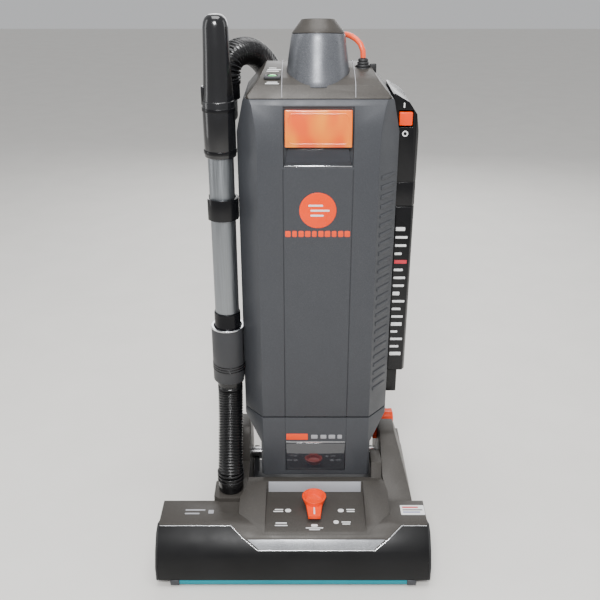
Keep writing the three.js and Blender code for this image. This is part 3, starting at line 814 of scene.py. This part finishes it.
def add_lower_marks():
    """The printed strip below the door, a painted highlight along the lens's top edge, and the lamps behind
    the lens.
    """
    mark("strip_orange", (33, 11, 1), (-28.5, FACE, 176), "body", "orange_plastic", ORANGE_PRINT)
    for k, (x, wide, tall) in enumerate(((-2, 10, 7), (12, 9, 7), (25, 10, 7), (37, 7, 7))):
        mark(f"strip_mark_{k}", (wide, tall, 1.2), (x, FACE, 176), "body", "grey_plastic", FAINT_PRINT)
    # painted highlight along the lens's top edge
    mark("lens_edge_highlight", (91, 1.2, 0.5), (0, 131, 166.4), "body", "steel", HIGHLIGHT_METAL, thick=0.7, edge=0.2)
    mark("lens_reflector", (86, 46, 3), (0, 138, 139), "body", "dark_plastic", thick=0.6, edge=0.3)
    for k, x in enumerate((-23, 23)):
        turned_piece(f"lamp_cup_{k}", (x, 137, 139), FRONT,
                     [(0, 0), (15, 0), (17, 2.4), (16.2, 2.4), (6, 0.8), (0, 0.8)], "body", "steel",
                     edge=0.2)


# ---- top of the body ----
TOP_PROFILE = [(143, 688.6), (150, 703), (165, 710), (200, 718), (235, 721), (262, 716), (283, 700)]


def add_top():
    refined("top_cover", 1.8, 4)
    for k, s in enumerate((-1, 1)):
        path = spline([(s * 47.5, y - 0.1, z + 0.15) for y, z in TOP_PROFILE], 3)
        bead(f"top_seam_{k}", path, 0.55, "body", "warm_grey_plastic", FAINT_PRINT)
    well = block("lamp_well", (-71, 160, 708.4), (-49, 181, 712.6))
    hole = turned("hole", (-60, 170, 700), UP, [(0, 0), (7.3, 0), (7.3, 20), (0, 20)], 48)
    cut(well, [hole])
    bevel(well, 1.4, 3)
    finish_piece(well, "body", "dark_plastic")
    turned_piece("check_lamp_dome", (-60, 170, 690), UP,
                 [(0, 0), (6.9, 0), (6.9, 20), (5.5, 22.2), (3, 23.3), (0, 23.6)], "body", "lamp", edge=0.3,
                 stands_for="check_lamp", sides=32)
    marks = [(-60, 152, 18, 2), (-60, 156, 14, 2), (-60, 186, 16, 2), (-58, 190.5, 18, 2),
             (-60, 195, 10, 1.6)]
    for k, (x, y, wide, tall) in enumerate(marks):
        z = 703 + (y - 150) * 0.3
        mark(f"lamp_mark_{k}", (wide, tall, 0.7), (x, y, z + 0.9), "body", "warm_grey_plastic", WHITE_PRINT,
             up=(0, 1, 0.3))


SOCKET_BASE = (0, 193, 700)
SOCKET_LEAN = math.radians(8)
SOCKET_AXIS = (0, math.sin(SOCKET_LEAN), math.cos(SOCKET_LEAN))


def add_socket():
    shell = [(17, 20), (17, 60.4), (35.1, 60.4), (36.6, 52), (38.6, 38), (41.2, 18), (43.6, 2), (44.8, -6),
             (0, -6), (0, 20)]
    turned_piece("socket_cone", SOCKET_BASE, SOCKET_AXIS, shell, "body", "grey_plastic", material=SILVER,
                 stands_for="handle_socket", sides=96)
    collar = [(17, 60.8), (34.9, 60.8), (34.6, 62.4), (30.5, 68.4), (24.5, 76.2), (22.5, 79), (18.5, 79),
              (17, 77.5)]
    turned_piece("socket_collar", SOCKET_BASE, SOCKET_AXIS, collar, "body", "warm_grey_plastic", sides=96)
    add_socket_keys()


def add_socket_keys():
    """Four short ribs in the socket's bore: a thin ring, kept only near each rib's direction."""
    key = [(17.1, 24), (17.1, 58), (16.2, 58), (16.2, 24)]
    base = point(*SOCKET_BASE)
    axis = Vector(SOCKET_AXIS)
    across = axis.orthogonal().normalized()
    for k in range(4):
        t = math.radians(45 + 90 * k)
        aim = across * math.cos(t) + axis.cross(across) * math.sin(t)
        rib = turned(f"socket_key_{k}", SOCKET_BASE, SOCKET_AXIS, key, 96)
        bm = bmesh.new()
        bm.from_mesh(rib.data)
        away = [v for v in bm.verts if (v.co - base).cross(axis).cross(axis).normalized().dot(-aim) < 0.97]
        bmesh.ops.delete(bm, geom=away, context="VERTS")
        bm.to_mesh(rib.data)
        bm.free()
        finish_piece(rib, "body", "grey_plastic")


# ---- module ----
MODULE_FRONT = 178


def add_module_marks():
    """Plain bars where a label would be, and the switch's two marks."""
    for k in range(17):
        z = 296 + 12.6 * k
        wide = (17, 13, 18, 10, 16)[k % 5]
        tall = 3.6 if k % 4 else 5.6
        material = RED_PRINT if k == 12 else WHITE_PRINT
        mark(f"label_bar_{k}", (wide, tall, 0.8), (121.5 - (18 - wide) / 2, MODULE_FRONT, z), "filter_door",
             "black_plastic", material)
    turned_piece("mark_off", (118, MODULE_FRONT, 634), FRONT, [(2.4, 0), (4, 0), (4, 0.3), (2.4, 0.3)],
                 "body", "black_plastic", material=WHITE_PRINT, edge=0, sides=32)
    mark("mark_on", (1.8, 7, 0.8), (115, MODULE_FRONT, 672), "body", "black_plastic", WHITE_PRINT)
    for k, z in enumerate((286, 512)):
        screw(f"module_screw_{k}", (137, 270, z), RIGHT, "filter_door")


def add_filter():
    """Pleated paper in a moulded frame."""
    low, high = span("hepa_filter")
    low = [a + 0.6 for a in low]
    high = [b - 0.6 for b in high]
    frame_bar = 4
    outer = block("filter_frame", low, high)
    inner = block("window", (low[0] - 1, low[1] + frame_bar, low[2] + frame_bar),
                  (high[0] + 1, high[1] - frame_bar, high[2] - frame_bar))
    cut(outer, [inner])
    bevel(outer, 0.8, 2)
    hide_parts("hepa_filter")
    finish_piece(outer, "body", "dark_plastic")
    pleats = 46
    z0, z1 = low[2] + frame_bar, high[2] - frame_bar
    rows = []
    for k in range(pleats * 2 + 1):
        z = z0 + (z1 - z0) * k / (pleats * 2)
        x = low[0] + 1.5 if k % 2 else high[0] - 1.5
        rows.append([point(x, y, z) for y in (low[1] + frame_bar, high[1] - frame_bar)])
    finish_piece(ribbon("filter_pleats", rows, 0.4), "body", "filter_media", smooth=20)


# ---- wand ----
WAND_X, WAND_Y = -131, 164
HOSE_X, HOSE_Y = UPPER_ROUTE[0][:2]


def add_wand():
    """The wand's tube with its cuffs, grip and bridge to the hose, and the rings of its cup, the bright rim
    among them a painted highlight.
    """
    x, y = WAND_X, WAND_Y
    turned_piece("wand_pipe", (x, y, 340), UP, tube_profile(17.5, 15.9, 300), "wand", "wand_metal",
                 edge=0.3, stands_for="wand_tube", sides=96)
    cuff = [(18, 0), (19.4, 0), (19.9, 1.5), (19.9, 60), (19.2, 62), (19.2, 84), (18.6, 86), (18, 86)]
    turned_piece("wand_lower_cuff", (x, y, 290), UP, cuff, "wand", "black_plastic", edge=0.4,
                 stands_for="wand_cuff", sides=96)
    grip = [(0, 0), (20.5, 0), (19.6, 10), (18.8, 24), (17.2, 62), (16.4, 92), (15.4, 98), (13.6, 102.2),
            (11, 105.3), (7.5, 107), (4, 107.5), (0, 107.5)]
    turned_piece("wand_grip", (x, y, 681), UP, grip, "wand", "black_plastic", material=GLOSS, edge=0,
                 stands_for="wand_handle", sides=96)
    sleeve = [(18, 0), (21.5, 0), (21.5, 75), (0, 75), (0, 34.5), (18, 34.5)]
    turned_piece("wand_sleeve", (x, y, 607), UP, sleeve, "wand", "black_plastic", material=GLOSS, edge=1.6,
                 sides=96)
    bridge = [(min(px, -109.4), py) for px, py in two_circles((x, y), 18, (HOSE_X, HOSE_Y), 17)]
    plate("hose_bridge", bridge, 26, (0, 0, 650), RIGHT, BACK, "wand", "black_plastic", material=GLOSS,
          edge=1.2)
    tab = block("wand_tab", (x - 22, y - 6, 676), (x - 15, y + 6, 700))
    bevel(tab, 1.4, 3)
    finish_piece(tab, "wand", "black_plastic", GLOSS)
    for k, z in enumerate((612, 668)):
        turned_piece(f"sleeve_band_{k}", (x, y, z), UP, tube_profile(22.3, 21.2, 5), "wand",
                     "black_plastic", edge=1, sides=96)
    # painted highlight: a bright ring along the cup's rim
    rim = [(20.9, 0), (24.9, 0), (25.3, 1.2), (24.9, 2.4), (20.9, 2.4)]
    turned_piece("cup_rim_highlight", (x, y, 350.8), UP, rim, "body", "steel", material=HIGHLIGHT_METAL, edge=0.5, sides=96)
    for k, z in enumerate((282, 286, 290)):
        turned_piece(f"cup_ring_{k}", (x, y, z), UP, tube_profile(25, 24, 2), "body", "black_plastic",
                     edge=0.5, sides=96)
    for k, z in enumerate((112, 118, 124)):
        turned_piece(f"foot_ring_{k}", (x, 112 + 0.6 * k, z), UP,
                     [(17, 0), (20, 0), (20.6, 1.6), (20, 3.2), (17, 3.2)], "floor_head", "hose", edge=0.5)
    turned_piece("hose_cuff_ring", (HOSE_X, HOSE_Y, 696), UP, tube_profile(18.4, 16.5, 5), "wand",
                 "black_plastic", edge=1)


# ---- floor head ----
HOOD_SIDE = [(12.4, 0), (32, 0), (46, 3), (60, 9), (74, 20), (85, 33)]
KNOB_X = -2.5


def hood_y(z):
    """How far back the hood's front face is at a height."""
    for (z0, y0), (z1, y1) in zip(HOOD_SIDE, HOOD_SIDE[1:]):
        if z <= z1:
            return y0 + (y1 - y0) * (z - z0) / (z1 - z0)
    return HOOD_SIDE[-1][1]


def add_hood_edges():
    """Painted highlights: the grey band under the recess made pale silver where it catches the light, and
    bright lines along the hood's edges.
    """
    # the band is the housing's own grey; its pale silver is a painted highlight
    band = [(-84, 1), (84, 1), (101, 15.4), (-101, 15.4)]
    plate("highlight_band", band, 0.7, (0, 9.5, 60.3), RIGHT, (0, 11, 14), "floor_head", "grey_plastic",
          material=BAND_HIGHLIGHT)
    # painted highlights: bright beads along the notch's slanted edges
    for k, s in enumerate((-1, 1)):
        (x0, z0), (x1, z1) = (s * 85.5, 60), (s * 125.5, 85)
        path = []
        for j in range(31):
            x, z = x0 + (x1 - x0) * j / 30, z0 + (z1 - z0) * j / 30
            path.append(point(x, hood_y(z) - 0.3, z + 0.4))
        bead(f"notch_highlight_{k}", path, 0.8, "floor_head", "steel", HIGHLIGHT_METAL)
    # painted highlights along the end sections' top edges
    for k, (x0, x1) in enumerate(((-231, -125.5), (125.5, 163))):
        path = [point(x0 + (x1 - x0) * j / 20, hood_y(85) + 0.6, 85.7) for j in range(21)]
        bead(f"end_highlight_{k}", path, 0.45, "floor_head", "steel", HIGHLIGHT_METAL)
    # painted highlight along the notch's front edge
    path = [point(x, hood_y(60.4) - 0.2, 60.6) for x in range(-85, 86, 5)]
    bead("notch_highlight_front", path, 0.6, "floor_head", "steel", HIGHLIGHT_METAL)


def add_recess():
    """The recess round the height knob: its pale back wall and the marks on its sloping floor."""
    wall = [(-73, 0.6), (71, 0.6), (71, 17.2), (-73, 17.2)]
    plate("recess_wall", wall, 0.5, (0, 112, 85), RIGHT, (0, 6, 18), "floor_head", "warm_grey_plastic",
          material=PALE, edge=0.2)
    icons = [(-42, 72, 9, 7, 3.4), (-56, 74, 13, 2, 0.9), (-57, 70, 15, 2, 0.9), (38, 72, 9, 7, 3.4),
             (53, 74, 13, 2, 0.9), (53, 70, 12, 2, 0.9), (-52, 46, 17, 2.4, 1.1), (-52, 41, 19, 2, 0.9),
             (30, 48, 8, 7, 3.4), (45, 48, 14, 2, 0.9), (45, 44, 12, 2, 0.9), (KNOB_X, 41, 10, 5, 2.4),
             (KNOB_X, 36, 26, 2, 0.9), (KNOB_X, 32.6, 16, 1.6, 0.7)]
    for k, (x, y, wide, tall, radius) in enumerate(icons):
        z = 79 + (y - 30) * 6 / 82
        mark(f"knob_mark_{k}", (wide, tall, radius), (x, y, z), "floor_head", "warm_grey_plastic",
             WHITE_PRINT, up=(0, 82, 6))
    mark("knob_line", (2.2, 16, 1), (KNOB_X, 58, 93.4), "knob", "orange_plastic", WHITE_PRINT, up=BACK)


def add_head_details():
    add_hood_edges()
    add_recess()
    mark("sticker", (36, 22, 1.5), (146, 66, 88), "floor_head", "warm_grey_plastic", WHITE_PRINT, up=BACK)
    bars = [(143, 72, 24, 3, RED_PRINT), (146, 66, 30, 2, DARK_PRINT), (144, 61, 26, 2, BLUE_PRINT)]
    for k, (x, y, wide, tall, material) in enumerate(bars):
        mark(f"sticker_bar_{k}", (wide, tall, 0.6), (x, y, 88.3), "floor_head", "warm_grey_plastic",
             material, up=BACK, thick=0.2, edge=0.05)
    for k, (x, y, wide, tall) in enumerate(((-182, 66, 30, 3), (-186, 58, 22, 3), (-158, 62, 8, 8))):
        mark(f"end_mark_{k}", (wide, tall, 1.2), (x, y, 88), "floor_head", "warm_grey_plastic", FAINT_PRINT,
             up=BACK)
    for k, (x0, x1) in enumerate(((-216, -202), (134, 148))):
        cap = block(f"lip_end_{k}", (x0, -1.2, 3.4), (x1, 14.6, 12.6))
        bevel(cap, 1.6, 3)
        finish_piece(cap, "floor_head", "grey_plastic")
    for k, (x, y) in enumerate(((-200, 86), (130, 86), (-126, 120), (126, 120), (-120, 225), (120, 225))):
        screw(f"base_screw_{k}", (x, y, 4), DOWN, "floor_head")


# ---- brush and wheels ----
BRUSH_Y, BRUSH_Z = 48, 30
WHEEL_Y, WHEEL_Z = 275, 36
ROLLER_Y, ROLLER_Z = 100, 12


def add_hair(bm, axis, side, turn):
    """One bristle, leaning a little at random."""
    t = turn + random.uniform(-0.10, 0.10)
    side = side + random.uniform(-1.6, 1.6)
    tip_turn = t + random.uniform(-0.05, 0.05)
    root = axis + Vector((side * MM, 13.6 * MM * math.cos(t), 13.6 * MM * math.sin(t)))
    reach = random.uniform(22.3, 23.2) * MM
    tip_side = (side + random.uniform(-1, 1)) * MM
    tip = axis + Vector((tip_side, reach * math.cos(tip_turn), reach * math.sin(tip_turn)))
    along = (tip - root).normalized()
    a = along.orthogonal().normalized() * 0.45 * MM
    b = along.cross(a)
    low = [bm.verts.new(root + a * math.cos(q) + b * math.sin(q)) for q in (0, 2.1, 4.2)]
    top = [bm.verts.new(tip + (a * math.cos(q) + b * math.sin(q)) * 0.5) for q in (0, 2.1, 4.2)]
    for k in range(3):
        bm.faces.new((low[k], low[(k + 1) % 3], top[(k + 1) % 3], top[k]))
    bm.faces.new(top)


def add_brush():
    """The roll's core and pulley, with four rows of bristle tufts wound a quarter turn each way."""
    core = [(0, -216), (5, -216), (5, -207), (14, -206), (15.5, -204), (15.5, -200), (14.6, -199),
            (14.6, 85), (15.5, 86), (15.5, 88), (14, 89), (14, 103), (15.5, 104), (15.5, 108), (14.6, 109),
            (14.6, 134), (15.5, 135), (15.5, 137), (14, 138), (5, 139), (5, 148), (0, 148)]
    turned_piece("brush_core", (0, BRUSH_Y, BRUSH_Z), RIGHT, core, "brush", "black_plastic", edge=0.3,
                 stands_for="brush_roll", sides=48)
    bm = bmesh.new()
    axis = point(0, BRUSH_Y, BRUSH_Z)
    columns = list(range(-196, 84, 7)) + list(range(112, 134, 7))
    for row in range(4):
        for x in columns:
            turn = row * math.pi / 2 + (x + 60) / 140 * math.pi / 2
            for _ in range(7):
                add_hair(bm, axis, x, turn)
    finish_piece(from_bmesh("brush_bristles", bm), "brush", "bristle")


def add_wheel(name, x, body):
    """A ribbed tyre on a hub with six spokes."""
    tyre = [(27, 0), (33.5, 0)]
    for k in range(5):
        groove = 3.6 + 3.7 * k
        tyre += [(36, groove - 1.9), (36, groove - 0.6), (34.9, groove - 0.3), (34.9, groove + 0.3),
                 (36, groove + 0.6)]
    tyre += [(36, 20.4), (33.5, 22), (27, 22)]
    centre = (x, WHEEL_Y, WHEEL_Z)
    turned_piece(name + "_tyre", centre, RIGHT, tyre, body, "rubber", edge=0.3, stands_for=name, sides=80)
    hub = [(5.5, 2), (9, 2), (9, 5), (24, 5), (24, 2), (27.3, 2), (27.3, 20), (24, 20), (24, 17), (9, 17),
           (9, 20), (5.5, 20)]
    turned_piece(name + "_hub", centre, RIGHT, hub, body, "dark_plastic", edge=0.5)
    hub_at = point(*centre)
    for k in range(6):
        spoke = block(f"{name}_spoke_{k}", (x + 2.6, WHEEL_Y - 1.4, WHEEL_Z + 8.6),
                      (x + 19.4, WHEEL_Y + 1.4, WHEEL_Z + 24.4))
        turn = Matrix.Rotation(2 * math.pi * k / 6, 4, "X")
        spoke.data.transform(Matrix.Translation(hub_at) @ turn @ Matrix.Translation(-hub_at))
        bevel(spoke, 0.4, 2)
        finish_piece(spoke, body, "dark_plastic")


def add_wheels():
    add_wheel("rear_wheel_left", -134, "wheel_left")
    add_wheel("rear_wheel_right", 112, "wheel_right")
    ring = [(3.4, 1), (8, 1), (8.4, 0), (10.5, 0), (12, 1.5), (12, 14.5), (10.5, 16), (8.4, 16), (8, 15),
            (3.4, 15)]
    for body, x in (("roller_left", -54), ("roller_right", 38)):
        name = "front_" + body
        turned_piece(name + "_tread", (x, ROLLER_Y, ROLLER_Z), RIGHT, ring, body, "rubber", edge=0.4,
                     stands_for=name, sides=48)


# ---- rear ----
def add_rear():
    """The shell with its vents, the two cord hooks, the hose port, and a blank rating plate."""
    vents = [block("vent", (-84, 293, z), (-52, 299, z + 4)) for z in range(170, 250, 9)]
    refined("rear_shell", 2.6, 4, cutters=vents)
    for name, z in (("cord_hook_upper", HOOK_HIGH), ("cord_hook_lower", HOOK_LOW)):
        saddle = [(0, 0), (28, 0), (28, 38.5), (30.5, 40.6), (36.8, 40.8), (37.9, 42.5), (37.6, 45.2),
                  (35.5, 45.6), (22, 45.6), (20, 43), (0, 43)]
        turned_piece(name + "_saddle", (HOOK_X, 295.4, z), BACK, saddle, "body", "black_plastic",
                     stands_for=name, sides=80)
        screw(name + "_screw", (HOOK_X, 338.4, z), BACK, "body", 4.5)
    for k, (x, z) in enumerate(((-92, 660), (92, 660), (-92, 160), (92, 160))):
        screw(f"rear_screw_{k}", (x, 294.9, z), BACK, "body", 3.4)
    turned_piece("port_ring", (-38, 319.5, 496), UP, tube_profile(22.4, 20.2, 5.5), "body", "black_plastic",
                 edge=1)
    mark("rating_plate", (62, 34, 2), (-38, 295, 400), "body", "grey_plastic", FAINT_PRINT, right=LEFT)
    for k, wide in enumerate((50, 44, 48, 30)):
        mark(f"rating_line_{k}", (wide, 2, 0.8), (-38, 295.3, 411 - 7 * k), "body", "grey_plastic",
             DARK_PRINT, right=LEFT, thick=0.2, edge=0.05)


# ---- motor and bag ----
MOTOR_BASE = (0, 200, 112)


def add_motor():
    """The suction motor's can, and the fan with its curved blades."""
    can = [(0, 0), (47, 0), (50, 3), (50, 26), (51, 27), (51, 30), (50, 31), (50, 82), (48.5, 84), (47, 84),
           (47, 3), (0, 3)]
    turned_piece("motor_housing", MOTOR_BASE, UP, can, "body", "steel", edge=0.4, stands_for="motor_can",
                 sides=80)
    rotor = [(0, 12), (4, 12), (4, 20), (26, 20), (26, 54), (4, 54), (4, 64), (41, 64), (41, 65.5), (8, 65.5),
             (6, 78), (0, 78)]
    turned_piece("fan_rotor", MOTOR_BASE, UP, rotor, "fan", "black_plastic", edge=0.3,
                 stands_for="motor_fan")
    turned_piece("fan_shroud", MOTOR_BASE, UP, [(20, 76.6), (42, 74), (42, 75), (20, 77.8)], "fan",
                 "black_plastic", edge=0.2)
    for k in range(9):
        rows = []
        for j in range(9):
            radius = 8 + 33 * j / 8
            t = 2 * math.pi * k / 9 + 0.9 * (j / 8) ** 1.3
            x, y = radius * math.cos(t), MOTOR_BASE[1] + radius * math.sin(t)
            rows.append([point(x, y, MOTOR_BASE[2] + h) for h in (65.2, 77 - 2.4 * j / 8)])
        finish_piece(ribbon(f"fan_blade_{k}", rows, 0.9), "fan", "black_plastic", smooth=50)


def add_pedal_spring():
    spring = coil("pedal_spring_coil", (91, 246, 106), RIGHT, 7.3, 0.9, 4, 7, "pedal", "steel")
    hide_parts("pedal_spring")


BAG_PRESSURE = 4.0
BAG_STEPS = 20
BAG_CAP = 7              # the furthest the skin may be blown, in millimetres


def add_bag():
    """The paper bag: a closed skin blown out a little by its own pressure."""
    source = frame["nodes"]["dust_bag"].data.copy()
    bag = link("dust_bag_skin", source)
    low, high = span("dust_bag")
    middle = point(*[(a + b) / 2 for a, b in zip(low, high)])
    shrink = Matrix.Diagonal((*[1 - 2 * BAG_CAP / (b - a) for a, b in zip(low, high)], 1))
    bag.data.transform(Matrix.Translation(middle) @ shrink @ Matrix.Translation(-middle))
    remesh = bag.modifiers.new("remesh", "REMESH")
    remesh.mode = "VOXEL"
    remesh.voxel_size = 6 * MM
    apply_modifiers(bag)
    start = [v.co.copy() for v in bag.data.vertices]
    cloth = bag.modifiers.new("cloth", "CLOTH")
    cloth.settings.quality = 5
    cloth.settings.mass = 0.2
    cloth.settings.use_pressure = True
    cloth.settings.uniform_pressure_force = BAG_PRESSURE
    cloth.settings.effector_weights.gravity = 0
    cloth.point_cache.frame_start = 1
    cloth.point_cache.frame_end = BAG_STEPS
    scene = bpy.context.scene
    for step in range(1, BAG_STEPS + 1):
        scene.frame_set(step)
    apply_modifiers(bag)
    scene.frame_set(1)
    wrinkle = random.Random(11)
    phase = [wrinkle.uniform(0, 6.3) for _ in range(6)]
    for vertex, home in zip(bag.data.vertices, start):
        move = vertex.co - home
        if move.length > BAG_CAP * MM:
            vertex.co = home + move.normalized() * BAG_CAP * MM
        p = vertex.co / MM
        fold = (math.sin(p.z / 9 + 2.2 * math.sin(p.x / 31 + phase[0]) + phase[1])
                + 0.7 * math.sin(p.z / 5.2 + 3 * math.sin(p.x / 19 + p.y / 23 + phase[2])))
        away = vertex.co - middle
        away.z = 0
        vertex.co += away.normalized() * fold * 0.55 * MM
    bag.data.update()
    soft = bag.modifiers.new("soft", "SUBSURF")
    soft.levels = soft.render_levels = 1
    apply_modifiers(bag)
    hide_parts("dust_bag")
    finish_piece(bag, "body", "bag_paper", smooth=80)


add_camera()
add_studio()
cord, cord_line = add_cord()
boot = add_strain_relief()
plug_parts = add_plug()
add_hoses()
add_plain_pieces()
add_door()
add_badge()
add_facet_ribs()
add_lower_marks()
add_top()
add_socket()
add_module_marks()
add_filter()
add_wand()
add_head_details()
add_brush()
add_wheels()
add_rear()
add_motor()
add_pedal_spring()
add_bag()
